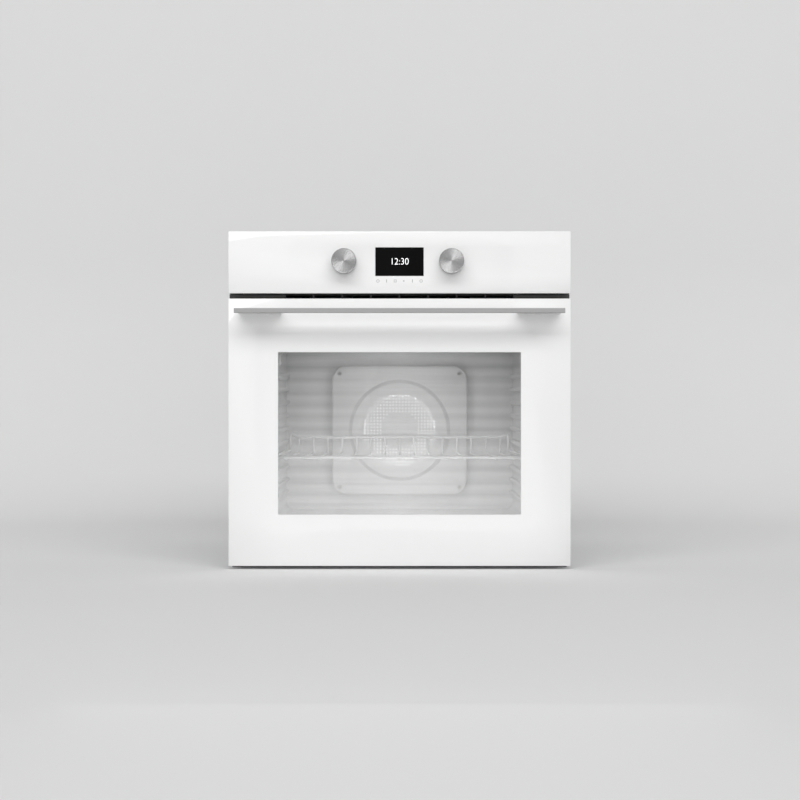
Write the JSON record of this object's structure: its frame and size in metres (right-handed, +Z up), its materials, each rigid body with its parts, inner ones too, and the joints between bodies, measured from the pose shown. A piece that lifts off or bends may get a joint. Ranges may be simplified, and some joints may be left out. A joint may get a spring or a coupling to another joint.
{
  "type": "wall oven",
  "caption": "Built-in oven with a drop-down glass door on hinges, bar handle, knobs, display, fan-assisted cavity and a sliding wire shelf.",
  "frame": {"origin": "middle of the front edge of the base, on the face that rests on the cabinet shelf, in the plane of the cabinet's front", "axes": "+X to the right as seen from the front, +Y to the rear, +Z up"},
  "size_m": [0.595, 0.621, 0.587],
  "materials": {
    "white_print": "fired white print seen through the front glass",
    "clear_glass": "polished clear glass",
    "casing_steel": "galvanised sheet",
    "frame_enamel": "grey enamelled sheet",
    "cavity_enamel": "satin grey enamel",
    "seal_rubber": "matt heat-proof seal",
    "mineral_wool": "mineral wool",
    "heater_tube": "dark heater sheath",
    "plain_steel": "plain steel",
    "motor_iron": "varnished laminations",
    "door_frame": "light grey coat",
    "handle_aluminium": "satin anodised",
    "knob_metal": "turned face",
    "grille_plastic": "dark grey moulding",
    "housing_plastic": "pale moulding",
    "black_plastic": "black moulding",
    "display_glass": "black display face",
    "circuit_board": "green solder mask",
    "shelf_chrome": "chromed wire",
    "lamp_ceramic": "ceramic holder"
  },
  "bodies": {
    "chassis": {"air_duct": "casing_steel", "base_heater": "heater_tube", "base_pan": "casing_steel", "blower_housing": "casing_steel", "blower_motor": "motor_iron", "cable_gland": "black_plastic", "cavity_liner": "cavity_enamel", "control_board": "circuit_board", "control_glass": "clear_glass", "control_housing": "housing_plastic", "control_print": "white_print", "deck": "casing_steel", "display_module": "display_glass", "door_gasket": "seal_rubber", "fan_cover": "cavity_enamel", "fan_motor": "motor_iron", "front_frame": "frame_enamel", "grill_hanger": "plain_steel", "grill_heater": "heater_tube", "hinge_sockets": "casing_steel", "insulation_wrap": "mineral_wool", "lamp_bulb": "clear_glass", "lamp_holder": "lamp_ceramic", "lamp_lens": "clear_glass", "left_encoder": "black_plastic", "left_hinge_arm": "plain_steel", "left_side_panel": "casing_steel", "panel_screws": "plain_steel", "rear_cover": "casing_steel", "rear_insulation": "mineral_wool", "right_encoder": "black_plastic", "right_hinge_arm": "plain_steel", "right_side_panel": "casing_steel", "ring_heater": "heater_tube", "temperature_probe": "plain_steel", "terminal_block": "black_plastic", "top_cover": "casing_steel", "vent_grille": "grille_plastic"},
    "door": {"door_glass": "clear_glass", "door_print": "white_print", "middle_glass": "clear_glass", "inner_glass": "clear_glass", "left_stile": "door_frame", "right_stile": "door_frame", "top_rail": "door_frame", "bottom_rail": "door_frame", "left_hinge_body": "plain_steel", "right_hinge_body": "plain_steel", "hinge_pins": "plain_steel", "hinge_springs": "plain_steel", "handle_bar": "handle_aluminium", "handle_posts": "handle_aluminium", "handle_screws": "plain_steel"},
    "left_knob": {"left_knob": "knob_metal"},
    "right_knob": {"right_knob": "knob_metal"},
    "fan": {"convection_fan": "plain_steel"},
    "blower": {"blower_wheel": "black_plastic"},
    "shelf": {"wire_shelf": "shelf_chrome"}
  },
  "joints": [
    {"name": "door_hinge", "type": "hinge", "parent": "chassis", "child": "door", "pos_m": [0, -0.01, 0.012], "axis": [1, 0, 0], "range_deg": [0, 90], "stiffness_Nm_per_rad": 6, "springref_deg": -14.9},
    {"name": "left_knob_turn", "type": "hinge", "parent": "chassis", "child": "left_knob", "pos_m": [-0.096, -0.022, 0.534], "axis": [0, -1, 0], "continuous": true},
    {"name": "right_knob_turn", "type": "hinge", "parent": "chassis", "child": "right_knob", "pos_m": [0.09, -0.022, 0.534], "axis": [0, -1, 0], "continuous": true},
    {"name": "fan_spin", "type": "hinge", "parent": "chassis", "child": "fan", "pos_m": [0, 0.415, 0.232], "axis": [0, 1, 0], "continuous": true},
    {"name": "blower_spin", "type": "hinge", "parent": "chassis", "child": "blower", "pos_m": [0, 0.3, 0.488], "axis": [1, 0, 0], "continuous": true},
    {"name": "shelf_slide", "type": "slide", "parent": "chassis", "child": "shelf", "axis": [0, -1, 0], "range_m": [0, 0.024]}
  ]
}
